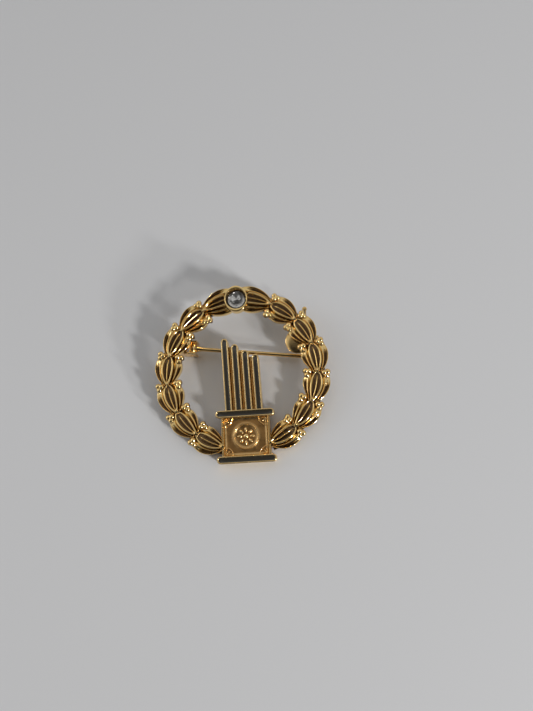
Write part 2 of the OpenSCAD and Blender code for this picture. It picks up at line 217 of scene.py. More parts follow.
def leaf(form, start, end, middle_r, cut):
    """A leaf from the node at start to the one at end. Along it, s runs from head to tip, with a half
    width of 2.38 s^0.5 (1 - s)^0.8 of its greatest, and the cut takes away the first part. Across it
    come a half-round rim, a dish with a fine vein, the round midrib, the other dish and
    rim, and the back. Where the leaf is narrow its two rims run together, and the midrib starts a
    little behind the head. A side leaf's head is a plain lobe, round across by a square of x, and its
    inner edge dips under the middle leaf by a smooth step. Points that come nearer to the stone's
    axis than the middle of its cup's wall are moved straight out to it."""
    half, rim_w, dip = form["half"], form["rim_w"], form["dip"]
    s = cut + (1 - cut) * (0.5 - 0.5 * np.cos(np.linspace(0.06, np.pi - 0.05, LEAF_ROWS)))[:, None]
    wide = half * 2.38 * s**0.5 * (1 - s) ** 0.8
    inner = np.maximum(wide - rim_w, 0.12 * wide)
    rim = wide - inner
    lobe = 1 - smooth((s - 0.2) / 0.28) if dip else 0 * s
    sink = HOLLOW * smooth((wide - rim_w) / 0.3) * (1 - lobe)
    rib = np.minimum(form["rib_w"] / 2, 0.3 * inner)
    middle = form["shift"] * inner
    turn = np.linspace(0, np.pi, 9)[None, :]
    rim_x = wide - rim * (1 - np.cos(turn)) / 2
    rim_drop = np.where(turn < np.pi / 2, 0.5 * rim, WALL_SHARE * sink)
    rim_z = -rim_drop * (1 - np.sin(turn))
    share = np.array([[0.86, 0.72, 0.62, 0.54, 0.47, 0.4, 0.32, 0.22, 0.1]])
    vein = VEIN_SHARE * bell(share - VEIN_AT, 0.075) * smooth((wide - 0.5) / 0.25) * smooth((s - 0.2) / 0.1)
    dish_z = -sink * (WALL_SHARE + (1 - WALL_SHARE) * np.sin(np.pi * share) - vein)
    left_x = middle - rib - (inner + middle - rib) * share
    right_x = middle + rib + (inner - middle - rib) * share
    rib_x = middle - rib * np.cos(turn)
    rib_z = -sink * (0.9 - 0.75 * np.sin(turn) * smooth((s - 0.1) / 0.16))
    x = np.hstack([-wide, -rim_x, left_x, rib_x, right_x[:, ::-1], rim_x[:, ::-1], wide])
    z = np.hstack([0 * s, rim_z, dish_z, rib_z, dish_z[:, ::-1], rim_z[:, ::-1], 0 * s])
    deep = np.clip(-z / HOLLOW, 0, 1)
    deep[:, [0, -1]] = SIDE_WALL
    crown = form["height"] + LEAF_RISE * s + LEAF_ARCH * np.sin(np.pi * s)
    crown = crown - form["fall"] * x / half - LOBE_FALL * lobe * (x / wide) ** 2
    if dip:
        crown = crown - abs(dip) * smooth(-np.sign(dip) * x / wide + 0.15)
    z[:, 1:-1] += crown[:, 1:-1]
    head_r, tip_r = middle_r + form["head_off"], MID_R + form["tip_off"]
    head, tip = start + form["head"], end + form["tip"]
    radius = head_r + (tip_r - head_r) * s + form["bow"] * np.sin(np.pi * s) + x
    points = on_ring(head + (tip - head) * s, radius, z)
    from_cup = points[..., :2] - [0, STONE_AT]
    short = np.clip(CUP_CLEAR / np.linalg.norm(from_cup, axis=-1, keepdims=True) - 1, 0, None)
    points[..., :2] += from_cup * short
    return shape(points, deep)


def turned_round(profile, centre, count):
    """A profile of radius and height turned about an upright axis."""
    turn = np.linspace(0, 2 * np.pi, count, endpoint=False)
    return np.stack([
        centre[0] + np.outer(profile[:, 0], np.cos(turn)),
        centre[1] + np.outer(profile[:, 0], np.sin(turn)),
        np.outer(profile[:, 1], np.ones(count)),
    ], -1)


def berry(angle, radius, height):
    """A ball on a stub: a profile turned about the berry's own upright axis, with painted shade on its flanks.
    """
    lift = np.linspace(np.radians(86), np.radians(-50), 15)
    out = np.append(BERRY_R * np.cos(lift), 0.7 * BERRY_R)
    up = np.append(height + BERRY_R * np.sin(lift), 0.05)
    # Painted shade: the berry darkens down its flanks from about 45 degrees above its middle, and is fully
    # dark below.
    painted_flank_shade = np.clip(1.2 + 1.3 * (height - up) / BERRY_R, 0, 1)
    ball = turned_round(np.stack([out, up], -1), on_ring(angle, radius, 0.0), BERRY_SIDES)
    return shape(ball, painted_flank_shade[:, None])


def ring_plate():
    """The plate behind the leaves: a flat section with bevelled edges carried along the arm's arc."""
    angle = np.linspace(NODE_START, NODE_START + CLUSTERS * NODE_STEP, 80)[:, None]
    brink = PLATE_HALF - PLATE_EDGE
    x = np.array([[-PLATE_HALF, -PLATE_HALF, -brink, brink, PLATE_HALF, PLATE_HALF]])
    z = np.array([[0, PLATE_T - PLATE_EDGE, PLATE_T, PLATE_T, PLATE_T - PLATE_EDGE, 0]])
    return shape(on_ring(angle, MID_R + x, z), 1.0)


def arm():
    """The right arm's shapes, cluster by cluster, with berries at every node between two clusters."""
    made = [ring_plate()]
    for k in range(CLUSTERS):
        node = NODE_START + k * NODE_STEP
        start, middle_r = (node, MID_R) if k else (0.0, MID_R + FIRST_LIFT)
        for form in LEAVES:
            made.append(leaf(form, start, node + NODE_STEP, middle_r, 0 if k else form["cup_cut"]))
        if k:
            made += [berry(node + angle, MID_R + off, height) for angle, off, height in BERRIES]
    return made


def mirrored(shapes):
    """The same shapes on the other side of the pin's middle, with their faces turned round."""
    return [
        {**part, "points": part["points"] * [-1, 1, 1], "faces": [face[::-1] for face in part["faces"]]}
        for part in shapes
    ]


def rgb(code):
    """A hex colour as written for a screen, turned to linear light."""
    parts = [int(code[i : i + 2], 16) / 255 for i in (1, 3, 5)]
    return [c / 12.92 if c <= 0.04045 else ((c + 0.055) / 1.055) ** 2.4 for c in parts] + [1]


def add(tree, kind, settings, links):
    """Adds one node to a material: its settings by name, its inputs as constants or as other outputs."""
    node = tree.nodes.new(kind)
    for key, value in settings.items():
        setattr(node, key, value)
    for key, value in links.items():
        if isinstance(value, bpy.types.NodeSocket):
            tree.links.new(value, node.inputs[key])
        else:
            node.inputs[key].default_value = value
    return node


def new_material(name, colour, metallic, roughness, sockets):
    """A material with one principled shader, whose node and tree are returned with it."""
    material = bpy.data.materials.new(name)
    material.use_nodes = True
    shader = material.node_tree.nodes["Principled BSDF"]
    shader.inputs["Base Color"].default_value = rgb(colour)
    shader.inputs["Metallic"].default_value = metallic
    shader.inputs["Roughness"].default_value = roughness
    for key, value in sockets.items():
        shader.inputs[key].default_value = value
    return material, material.node_tree, shader


def plated(name, colour, hollow_and_shade_colour, roughness, hollow_roughness, reach):
    """Gold plate over cast brass, shiny on what stands proud. Another colour and finish come in over
    the reach of the per-point attribute that marks recesses and painted shade, up to its share. Rubbing leaves
    cloudy patches in the finish,
    0.9 to a millimetre, and the cast grain, 5 to a millimetre, stays in the recesses."""
    from_hollow, to_hollow, most = reach
    material, tree, shader = new_material(name, colour, 1.0, roughness, {})
    place = add(tree, "ShaderNodeTexCoord", {}, {}).outputs["Object"]
    shade_and_recess = add(tree, "ShaderNodeAttribute", {"attribute_name": "hollow_and_shade"}, {}).outputs["Fac"]
    cloud = add(tree, "ShaderNodeTexNoise", {}, {
        "Vector": place, "Scale": 1000 * 0.9, "Detail": 4.0,
    }).outputs["Fac"]
    cast = add(tree, "ShaderNodeTexNoise", {}, {
        "Vector": place, "Scale": 1000 * 5.0, "Detail": 2.0,
    }).outputs["Fac"]
    dull_and_shade = add(tree, "ShaderNodeMapRange", {}, {
        "Value": shade_and_recess, "From Min": from_hollow, "From Max": to_hollow, "To Min": 0.0, "To Max": most,
    }).outputs["Result"]
    # The other colour mixed in here is painted shade wherever the per-point attribute carries painted shade.
    mixed = add(tree, "ShaderNodeMix", {"data_type": "RGBA"}, {
        "Factor": dull_and_shade, "A": rgb(colour), "B": rgb(hollow_and_shade_colour),
    }).outputs[2]
    finish = add(tree, "ShaderNodeMix", {"data_type": "FLOAT"}, {
        "Factor": dull_and_shade, "A": roughness, "B": hollow_roughness,
    }).outputs[0]
    rubbing = add(tree, "ShaderNodeMapRange", {}, {
        "Value": cloud, "From Min": 0.3, "From Max": 0.7, "To Min": 0.8, "To Max": 1.4,
    }).outputs["Result"]
    rubbed = add(tree, "ShaderNodeMath", {"operation": "MULTIPLY"}, {0: finish, 1: rubbing}).outputs[0]
    grain = add(tree, "ShaderNodeMapRange", {}, {
        "Value": shade_and_recess, "From Min": 0.2, "From Max": 0.8, "To Min": 0.05, "To Max": 0.9,
    }).outputs["Result"]
    bump = add(tree, "ShaderNodeBump", {}, {
        "Height": cast, "Strength": grain, "Distance": 0.045 / 1000,
    }).outputs["Normal"]
    tree.links.new(mixed, shader.inputs["Base Color"])
    tree.links.new(rubbed, shader.inputs["Roughness"])
    tree.links.new(bump, shader.inputs["Normal"])
    return material


# Polished gold plate: buffed rims and ribs mirror the room. The hollows go a darker brown and rougher with
# their depth, and the plate behind the leaves is that brown all over; it is painted shade on the berries and
# in the cup's seat.
polished_gold = plated("polished_gold_plate", "#FFDD98", "#5C4532", 0.08, 0.2, (0.3, 0.9, 0.92))
right_arm = arm()
piece("wreath_right_arm", right_arm, polished_gold, "root", "wreath_right")
piece("wreath_left_arm", mirrored(right_arm), polished_gold, "root", "wreath_left")

# Bezel
# A wide, low cup on a narrower foot, turned in brass, soldered over the top of the wreath and
# plated with it. Its wall is a little oval, and its lip is burnished down towards the stone.
STONE_R = 1.5
GIRDLE_Z = 1.42
BEZEL_R = 2.15
BEZEL_H = 2.05
BEZEL_OVAL = 1.085
MOUTH_R = 1.8
FOOT_R = 1.45
FOOT_H = 0.5
CUP_FLOOR = 0.35
LIP_R = 0.12
MOUTH_EDGE = 0.08
BEZEL_SIDES = 72


def arc(x, y, r, start, stop, count=6):
    """Points on a circle about x, y from one angle to the other, in degrees."""
    a = np.radians(np.linspace(start, stop, count))
    return np.stack([x + r * np.cos(a), y + r * np.sin(a)], -1)


cup_wall = np.concatenate([
    [(0.02, 0.0), (FOOT_R, 0.0), (FOOT_R, FOOT_H), (BEZEL_R - 0.06, FOOT_H), (BEZEL_R, FOOT_H + 0.06)],
    arc(BEZEL_R - LIP_R, BEZEL_H - LIP_R, LIP_R, 0, 90),
])
cup_mouth = arc(MOUTH_R + MOUTH_EDGE, BEZEL_H - MOUTH_EDGE, MOUTH_EDGE, 90, 165, 4)
cup_seat = [
    (STONE_R + 0.1, GIRDLE_Z + 0.14), (STONE_R + 0.03, GIRDLE_Z - 0.03), (STONE_R - 0.3, GIRDLE_Z - 0.3),
    (STONE_R - 0.5, CUP_FLOOR), (0.02, CUP_FLOOR),
]
cup = turned_round(np.concatenate([cup_wall, cup_mouth, cup_seat]), (0, 0), BEZEL_SIDES)
narrow = np.repeat([1 / BEZEL_OVAL, 1.0], [len(cup_wall), len(cup_mouth) + len(cup_seat)])
cup *= np.stack([narrow, 1 / narrow, np.ones(len(narrow))], -1)[:, None, :]
cup += [0, STONE_AT, 0]
# Painted shade: the cup's inner wall below the mouth and its floor take the dark brown in full.
painted_seat_shade = np.repeat([0.0, 1.0], [len(cup_wall) + len(cup_mouth), len(cup_seat)])
piece("bezel_cup", [shape(cup, painted_seat_shade[:, None], along=True)], polished_gold, "root", "bezel",
      crease=35)

# Stone
# A clear stone of 3 mm, cut as a round brilliant and set with its girdle low in the cup. Its
# pavilion is backed with foil.
TABLE_R = 0.57 * STONE_R
STAR_R = 0.8 * STONE_R
LOWER_R = 0.36 * STONE_R
CROWN_H = 0.42
GIRDLE_T = 0.05
PAVILION_H = 0.46


def round_brilliant():
    """A round brilliant: table, eight stars, eight kites, sixteen upper facets, girdle, and the same
    below down to the point. The kites' side corners lie where their plane cuts the half-way angle."""
    half_turn = math.cos(math.pi / 8)

    def ring(radius, z, count, shift):
        a = (np.arange(count) + shift) * 2 * np.pi / count
        return np.stack([radius * np.cos(a), radius * np.sin(a), np.full(count, z)], -1)

    star_z = GIRDLE_T + CROWN_H * (STONE_R - STAR_R * half_turn) / (STONE_R - TABLE_R)
    lower_z = -PAVILION_H * (STONE_R - LOWER_R * half_turn) / STONE_R
    points = np.concatenate([
        ring(TABLE_R, GIRDLE_T + CROWN_H, 8, 0), ring(STAR_R, star_z, 8, 0.5),
        ring(STONE_R, GIRDLE_T, 16, 0), ring(STONE_R, 0, 16, 0),
        ring(LOWER_R, lower_z, 8, 0.5), [(0, 0, -PAVILION_H)],
    ])
    table, star, top, low, main, point = 0, 8, 16, 32, 48, 56
    faces = [[table + i for i in range(8)]]
    for i in range(8):
        n, m = (i + 1) % 8, (i - 1) % 8
        g = [(2 * i + k) % 16 for k in range(3)]
        faces += [
            [table + i, star + i, table + n],
            [table + i, star + m, top + 2 * i, star + i],
            [star + i, top + g[0], top + g[1]],
            [star + i, top + g[1], top + g[2]],
            [main + i, low + g[1], low + g[0]],
            [main + i, low + g[2], low + g[1]],
            [point, main + i, low + 2 * i, main + m],
        ]
    faces += [[top + i, low + i, low + (i + 1) % 16, top + (i + 1) % 16] for i in range(16)]
    return {"points": points + [0, STONE_AT, GIRDLE_Z], "faces": faces, "hollow_and_shade": np.zeros(len(points))}


# Clear crystal: cut and polished to sharp flat facets, which bend the view of the foil behind them.
crystal = new_material("clear_crystal", "#F7F6F5", 0.0, 0.02, {"IOR": 1.6, "Transmission Weight": 1.0})[0]
# Silver foil: rolled thin and pressed on the facets below the girdle, a slightly soft mirror.
foil = new_material("silver_foil", "#F2F1EE", 1.0, 0.1, {})[0]
stone = piece("round_stone", [round_brilliant()], crystal, "root", "stone", crease=1)
stone.data.materials.append(foil)
facet_dirs = np.empty(len(stone.data.polygons) * 3)
stone.data.polygons.foreach_get("normal", facet_dirs)
stone.data.polygons.foreach_set("material_index", (facet_dirs[2::3] < -0.2).astype(int))

# Column
# Four round-topped shafts on one casting, side by side with stepped tops. Each is a raised rim round
# a sunk bed for enamel, and the strips between them lie deeper, olive-brown with painted shade at their edges.
SHAFT_W = 1.18
SHAFT_PITCH = 1.69
SHAFT_H = 1.9
SHAFT_TOPS = [5.95, 4.85, 3.65, 2.82]
SHAFT_RIM = 0.26
CROWN_SWELL = 0.5
STRIP_H = 1.15
STRIP_DROP = 0.3
STRIP_BOW = 0.3
STRIP_EDGE = 0.06
CAPITAL_TOP = -6.37
COLUMN_FOOT = CAPITAL_TOP - 0.25
ENAMEL_SINK = 0.07
ENAMEL_T = 0.3
RIM_DEEP = 1.2
shaft_x = [(i - 1.5) * SHAFT_PITCH for i in range(4)]


def track(profile, half, ends, closed, upright, swell=0.0):
    """A profile of inset and height carried round a straight line with round ends, which runs from
    one end to the other: the line's two sides, and a half circle at each end that is closed. Insets
    grow by the swell towards the crown of each round end, so that the rim is widest there."""
    first, last = ends
    half_circle = np.linspace(0, np.pi, 25)
    side = np.linspace(first, last, 12)
    along = [side, last + 0 * half_circle, side[::-1]]
    turn = [0 * side, half_circle, 0 * side + np.pi]
    if closed:
        along.append(first + 0 * half_circle)
        turn.append(np.pi + half_circle)
    along, turn = np.concatenate(along)[:, None], np.concatenate(turn)[:, None]
    inset, height = np.asarray(profile, float).T[:, None, :]
    inset = np.minimum(inset * (1 + swell * np.sin(turn) ** 2), half)
    across = (half - inset) * np.cos(turn)
    forward = along + (half - inset) * np.sin(turn)
    height = height + 0 * turn
    return np.stack([across, forward, height] if upright else [forward, -across, height], -1)


def shaft(profile, top):
    """A profile of inset and height carried round one shaft, from the foot over its round top."""
    return track(profile, SHAFT_W / 2, (COLUMN_FOOT, top - SHAFT_W / 2), False, True, CROWN_SWELL)


def rim_profile(half, height, rim, floor):
    """Outer wall, round rim, drop to the floor, floor to the middle line, and the flat back."""
    r = rim / 2
    return np.concatenate([
        [(0, 0)], [(0, height - r)], arc(r, height - r, r, 180, 90)[1:],
        arc(rim - r, height - r, r, 90, 0)[1:], [(rim, floor), (half, floor), (half, 0)],
    ])


def rim_depth_shade(profile, height):
    """How deep each point of a rim's profile lies below its top: half the share of a full depth."""
    # Painted shade: through the brushed plate, a rim's walls darken a little from about 0.84 mm below its top
    # down to the back.
    return 0.5 * np.clip((height - profile[:, 1]) / RIM_DEEP, 0, 1)[None, :]


def strip(x, top):
    """A plain sunk strip between two shafts: a bar from the foot to its top, whose face is bowed by
    a square of the distance from its middle line."""
    half = SHAFT_PITCH / 2 - SHAFT_W / 2 + 0.05
    across = np.linspace(-1, 1, 13)
    bowed = STRIP_H + 0.12 - STRIP_BOW * across**2
    y = np.array([COLUMN_FOOT, top - STRIP_EDGE, top])[:, None]
    px = x + half * np.concatenate([[-1], across, [1]])[None, :]
    pz = np.array([[0, *bowed, 0], [0, *bowed, 0], [0, *(bowed - STRIP_EDGE), 0]])
    # Painted shade: the face darkens by the square of the distance from its middle line, fully dark at its
    # edges against the shafts.
    return shape(np.stack(np.broadcast_arrays(px, y, pz), -1), np.array([[1, *(0.3 + 0.7 * across**2), 1]]))


# Brushed gold plate: rims stoned flat with the enamel and rubbed, so they shine softly. Its darker brown is
# painted shade, low on the rims' walls.
brushed_gold = plated("brushed_gold_plate", "#FAD899", "#7A5A3A", 0.2, 0.35, (0.35, 1.0, 0.85))
# Strip gold plate: an olive-brown gold, duller than the rims, with painted shade that turns it dark brown
# towards the strips' edges.
strip_gold_and_shade = plated("strip_gold_and_shade_plate", "#CDB07C", "#5C4C36", 0.22, 0.3, (0.15, 0.7, 1.0))
rim_of_shaft = rim_profile(SHAFT_W / 2, SHAFT_H, SHAFT_RIM, SHAFT_H - ENAMEL_SINK - ENAMEL_T)
column = [
    shape(shaft(rim_of_shaft, top) + [x, 0, 0], rim_depth_shade(rim_of_shaft, SHAFT_H))
    for x, top in zip(shaft_x, SHAFT_TOPS)
]
column += [strip(x + SHAFT_PITCH / 2, top - STRIP_DROP) for x, top in zip(shaft_x, SHAFT_TOPS[1:])]
piece("column_casting", column, brushed_gold, "root", "column",
      second=strip_gold_and_shade, second_from=len(SHAFT_TOPS))

# Enamel of the shafts
# Black glass ground fine, laid wet in each shaft's bed, fired and stoned back a little below the rim.
# It draws up where it meets the metal.
FILL_GAP = 0.01


def fill_profile(half, rim, top):
    """The enamel's section: flat, drawn up a little against the rim, and down to its own back."""
    inset = rim + np.array([0.012, 0.012, 0.05, 0.12])
    rise = np.array([FILL_GAP - ENAMEL_T, 0.03, 0.012, 0.0])
    return np.concatenate([
        np.stack([inset, top + rise], -1), [(half, top), (half, top - ENAMEL_T + FILL_GAP)],
    ])


def fired_enamel():
    """Fired enamel: smooth dark glass under a clear gloss. Firing leaves it faintly wavy, with 1.2
    waves to a millimetre, which breaks up what it mirrors."""
    material, tree, shader = new_material("black_enamel", "#353129", 0.0, 0.12, {
        "Coat Weight": 0.6, "Coat Roughness": 0.05,
    })
    place = add(tree, "ShaderNodeTexCoord", {}, {}).outputs["Object"]
    wave = add(tree, "ShaderNodeTexNoise", {}, {
        "Vector": place, "Scale": 1000 * 1.2, "Detail": 3.0,
    }).outputs["Fac"]
    gloss = add(tree, "ShaderNodeMapRange", {}, {
        "Value": wave, "From Min": 0.3, "From Max": 0.7, "To Min": 0.07, "To Max": 0.2,
    }).outputs["Result"]
    bump = add(tree, "ShaderNodeBump", {}, {
        "Height": wave, "Strength": 0.35, "Distance": 0.04 / 1000,
    }).outputs["Normal"]
    tree.links.new(gloss, shader.inputs["Roughness"])
    tree.links.new(bump, shader.inputs["Normal"])
    return material


enamel = fired_enamel()
fill_of_shaft = fill_profile(SHAFT_W / 2, SHAFT_RIM, SHAFT_H - ENAMEL_SINK)
for i, (x, top) in enumerate(zip(shaft_x, SHAFT_TOPS), 1):
    piece(f"shaft_fill_{i}", [shape(shaft(fill_of_shaft, top) + [x, 0, 0])], enamel, "root",
          f"shaft_enamel_{i}")

# Pedestal
# A square block between two bars, cast with the rest. The bars are rims round beds for enamel, the
# block is a satin field sunk between two side frames, with a rosette in a ring and corner fans.
BAR_W = 9.8
BAR_H = 2.05
BAR_DEEP = 1.25
PLINTH_FOOT = -15.1
# Lower edge, upper edge and width of the rim
BARS = {
    "capital": (CAPITAL_TOP - BAR_DEEP, CAPITAL_TOP, 0.3),
    "plinth": (PLINTH_FOOT, PLINTH_FOOT + BAR_DEEP, 0.27),
}
DIE_W = 8.1
FRAME_W = 0.42
FRAME_H = 1.75
FIELD_H = 1.25
FIELD_HALF = (CAPITAL_TOP - PLINTH_FOOT) / 2 - BAR_DEEP
BORDER_UP = 0.16
BORDER_W = 0.55
RAISED = 0.28
RING_R = 1.99
RING_HALF = 0.13
PETALS = 8
PETAL_AT = 1.06
PETAL_HALF = 0.24
PETAL_LONG = 1.9
EYE_R = 0.44
FAN_R = 1.45
FAN_HALF = 0.11
FAN_RAYS = (18, 45, 72)
RAY_AT = 0.72
RAY_LONG = 0.32
RAY_HALF = 0.1
PEDESTAL_TURN = math.radians(-1.4)
pedestal_mid = (CAPITAL_TOP + PLINTH_FOOT) / 2


def turned_pedestal(points):
    """The pedestal sits a little askew on the wreath: its points turned about its middle."""
    c, s = math.cos(PEDESTAL_TURN), math.sin(PEDESTAL_TURN)
    x, y = points[..., 0], points[..., 1] - pedestal_mid
    return np.stack([x * c - y * s, pedestal_mid + x * s + y * c, points[..., 2]], -1)


def bar(profile, low, high):
    """A profile of inset and height carried round one bar, whose ends are half circles."""
    half = (high - low) / 2
    end = BAR_W / 2 - half
    return turned_pedestal(track(profile, half, (-end, end), True, False) + [0, low + half, 0])


def ridge(distance, half, height):
    """A raised line with a round back: height times the root of one less the squared share."""
    return height * np.sqrt(np.clip(1 - (distance / half) ** 2, 0, 1))


def field_relief(x, y):
    """Height of the block's face over the pin's back, at x and y from the middle of the field: a field
    that slopes up to its borders past a fine groove, on it a ring on a soft swell, petals as short
    ovals round an eye, and in each corner an arc with rays, and a grooved frame at each side."""
    from_side, from_bar = DIE_W / 2 - FRAME_W - np.abs(x), FIELD_HALF - np.abs(y)
    border = np.minimum(from_side, from_bar)
    z = FIELD_H + BORDER_UP * (1 - smooth(border / BORDER_W)) - 0.1 * bell(border, 0.1)
    out, turn = np.hypot(x, y), np.arctan2(y, x)
    z = z + 0.1 * bell(out - RING_R, 0.3) + ridge(out - RING_R, RING_HALF, RAISED - 0.1)
    petal_turn = (turn + np.pi / PETALS) % (2 * np.pi / PETALS) - np.pi / PETALS
    along, across = out * np.cos(petal_turn) - PETAL_AT, out * np.sin(petal_turn)
    z = z + ridge(np.hypot(along / PETAL_LONG, across), PETAL_HALF, RAISED)
    z = z + ridge(out, EYE_R, RAISED + 0.1)
    fan_out, fan_turn = np.hypot(from_side, from_bar), np.arctan2(from_bar, from_side)
    z = z + np.where(border > 0, ridge(fan_out - FAN_R, FAN_HALF, RAISED), 0)
    for ray in np.radians(FAN_RAYS):
        off = fan_out * np.sin(fan_turn - ray)
        past = np.clip(np.abs(fan_out * np.cos(fan_turn - ray) - RAY_AT) - RAY_LONG, 0, None)
        z = z + np.where(from_side > 0, ridge(np.hypot(off, past), RAY_HALF, RAISED * 0.9), 0)
    side = np.abs(np.abs(x) - (DIE_W - FRAME_W) / 2)
    frame_z = FIELD_H + (FRAME_H - FIELD_H) * np.clip(1 - (side / (FRAME_W / 2)) ** 4, 0, 1) ** 0.5
    return np.where(side < FRAME_W / 2, frame_z - 0.12 * bell(side, 0.06), z)


def block():
    """The block: its relief on a fine grid that runs in under both bars, a skirt, and a flat back."""
    under = FIELD_HALF + 0.15
    gx, gy = np.meshgrid(
        np.linspace(-DIE_W / 2, DIE_W / 2, 205), np.linspace(-under, under, 165), indexing="ij"
    )
    face = np.stack([gx, gy + pedestal_mid, field_relief(gx, gy)], -1)
    closed = np.pad(face, ((1, 1), (1, 1), (0, 0)), mode="edge")
    closed[[0, -1], :, 2] = 0
    closed[:, [0, -1], 2] = 0
    deep = np.clip((FIELD_H + 0.18 - closed[..., 2]) / 0.2, 0, 1)
    made = shape(turned_pedestal(closed), deep, around=False, caps=False)
    index = np.arange(deep.size).reshape(deep.shape)
    rim = np.concatenate([index[0], index[1:, -1], index[-1, -2::-1], index[-2:0:-1, 0]])
    made["faces"].append(rim.tolist())
    return made


# Satin gold plate: a matt bath finish on the sunk field, warm and soft between shiny raised lines.
satin_gold = plated("satin_gold_plate", "#FCDB9C", "#B48852", 0.15, 0.34, (0.0, 0.9, 1.0))
pedestal = []
for low, high, rim in BARS.values():
    rim_of_bar = rim_profile((high - low) / 2, BAR_H, rim, BAR_H - ENAMEL_SINK - ENAMEL_T)
    pedestal.append(shape(bar(rim_of_bar, low, high), rim_depth_shade(rim_of_bar, BAR_H), along=True))
pedestal.append(block())
piece("pedestal_casting", pedestal, brushed_gold, "root", "pedestal",
      second=satin_gold, second_from=len(BARS))

# Enamel of the bars
# The same black enamel in the beds of the capital and the plinth, fired with that of the shafts and
# stoned back as far below the rims.
for name, (low, high, rim) in BARS.items():
    fill_of_bar = fill_profile((high - low) / 2, rim, BAR_H - ENAMEL_SINK)
    piece(f"{name}_fill", [shape(bar(fill_of_bar, low, high), along=True)], enamel, "root",
          f"{name}_enamel")

# Hinge
# A plated brass bracket, stamped and bent up into two ears, soldered to the wreath's back. A short
# rivet goes through the ears, and its ends are spread.
FOOT_Z = -HINGE[2] - 0.03
EAR_IN = 0.9
EAR_T = 0.32
EAR_FRONT = 0.9
EAR_REAR = 2.9
EAR_ROUND = 0.7
RIVET_R = 0.28
RIVET_END_R = 0.14
RIVET_END = 0.12
wire_turn = math.atan2(np.dot(wire_dir, up_face), wire_dir[0])


def along_wire(points):
    """From the hinge's frame (x along the wire, y along the rivet, z out of the face) to the pin's."""
    c, s = math.cos(wire_turn), math.sin(wire_turn)
    x, y = points[..., 0], points[..., 1]
    return HINGE + np.stack([x * c - y * s, x * s + y * c, points[..., 2]], -1)


def plate(outline, low, high, edge, order):
    """A flat outline made thick from low to high, its edges rounded by a quarter circle: each point
    moves inwards by edge (1 - sin t) as the height comes within edge (1 - cos t) of the face. The
    order says which of the hinge's axes the outline's two axes and the thickness follow."""
    p = np.asarray(outline, float)
    to_next = np.roll(p, -1, 0) - p
    to_next /= np.linalg.norm(to_next, axis=1)[:, None]
    to_last = np.roll(to_next, 1, 0)
    area = np.sum(p[:, 0] * np.roll(p[:, 1], -1) - np.roll(p[:, 0], -1) * p[:, 1])
    outwards = np.stack([to_next[:, 1] + to_last[:, 1], -to_next[:, 0] - to_last[:, 0]], -1) * np.sign(area)
    outwards /= np.maximum(np.sum(outwards * outwards, axis=1), 0.8)[:, None] / 2
    t = np.linspace(0, np.pi / 2, 5)
    inset = np.concatenate([edge * (1 - np.sin(t)), edge * (1 - np.cos(t))])
    height = np.concatenate([low + edge * (1 - np.cos(t)), high - edge * (1 - np.sin(t))])
    flat = p[None] - inset[:, None, None] * outwards[None]
    made = np.stack([flat[..., 0], flat[..., 1], height[:, None] + 0 * flat[..., 0]], -1)
    return shape(along_wire(made[..., np.argsort(order)]))


def oblong(x0, x1, y0, y1):
    """The four corners of a flat oblong in the hinge's frame."""
    return [(x0, y0), (x1, y0), (x1, y1), (x0, y1)]


def spindle(profile, axis, centre=(0, 0, 0), count=40):
    """A profile of place along an axis of the hinge's frame and radius, turned about that axis."""
    profile = np.asarray(profile, float)
    turn = np.linspace(0, 2 * np.pi, count, endpoint=False)
    made = np.empty((len(profile), count, 3))
    others = [k for k in range(3) if k != axis]
    made[..., axis] = profile[:, :1]
    made[..., others[0]] = profile[:, 1:] * np.cos(turn)
    made[..., others[1]] = profile[:, 1:] * np.sin(turn)
    return shape(along_wire(made + centre))


# Plain gold plate: thin plate on unpolished fittings, a little redder and duller than the face.
plain_gold = plated("plain_gold_plate", "#F6D08D", "#6B5038", 0.15, 0.3, (0.35, 1.0, 0.85))
ear_out = EAR_IN + EAR_T
ear_y = HINGE[1] + EAR_FRONT * math.sin(wire_turn) - ear_out * math.cos(wire_turn)
table_at = on_table([0.0, ear_y, HINGE[2]])[2] / math.cos(rest_tilt) * 1000 - 0.02
ear_low = EAR_ROUND - table_at
ear_side = np.concatenate([
    [(EAR_FRONT, FOOT_Z), (-EAR_REAR, FOOT_Z)], arc(EAR_ROUND - EAR_REAR, ear_low, EAR_ROUND, 180, 270, 9),
    arc(EAR_FRONT - EAR_ROUND, ear_low, EAR_ROUND, 270, 360, 9),
])
ear_foot = oblong(-EAR_REAR - 0.2, -0.8, -ear_out, ear_out)
bracket = [plate(ear_side, y, y + EAR_T, 0.05, (0, 2, 1)) for y in (EAR_IN, -ear_out)]
bracket.append(plate(ear_foot, FOOT_Z - 0.45, FOOT_Z, 0.05, (0, 1, 2)))
piece("hinge_ears", bracket, plain_gold, "root", "hinge_bracket", crease=50)

rivet = [
    (-ear_out - RIVET_END, 0.01), (-ear_out - RIVET_END, RIVET_END_R), (-ear_out - 0.05, RIVET_R),
    (ear_out + 0.05, RIVET_R), (ear_out + RIVET_END, RIVET_END_R), (ear_out + RIVET_END, 0.01),
]
piece("hinge_axle", [spindle(rivet, 1)], plain_gold, "root", "hinge_rivet", crease=50)

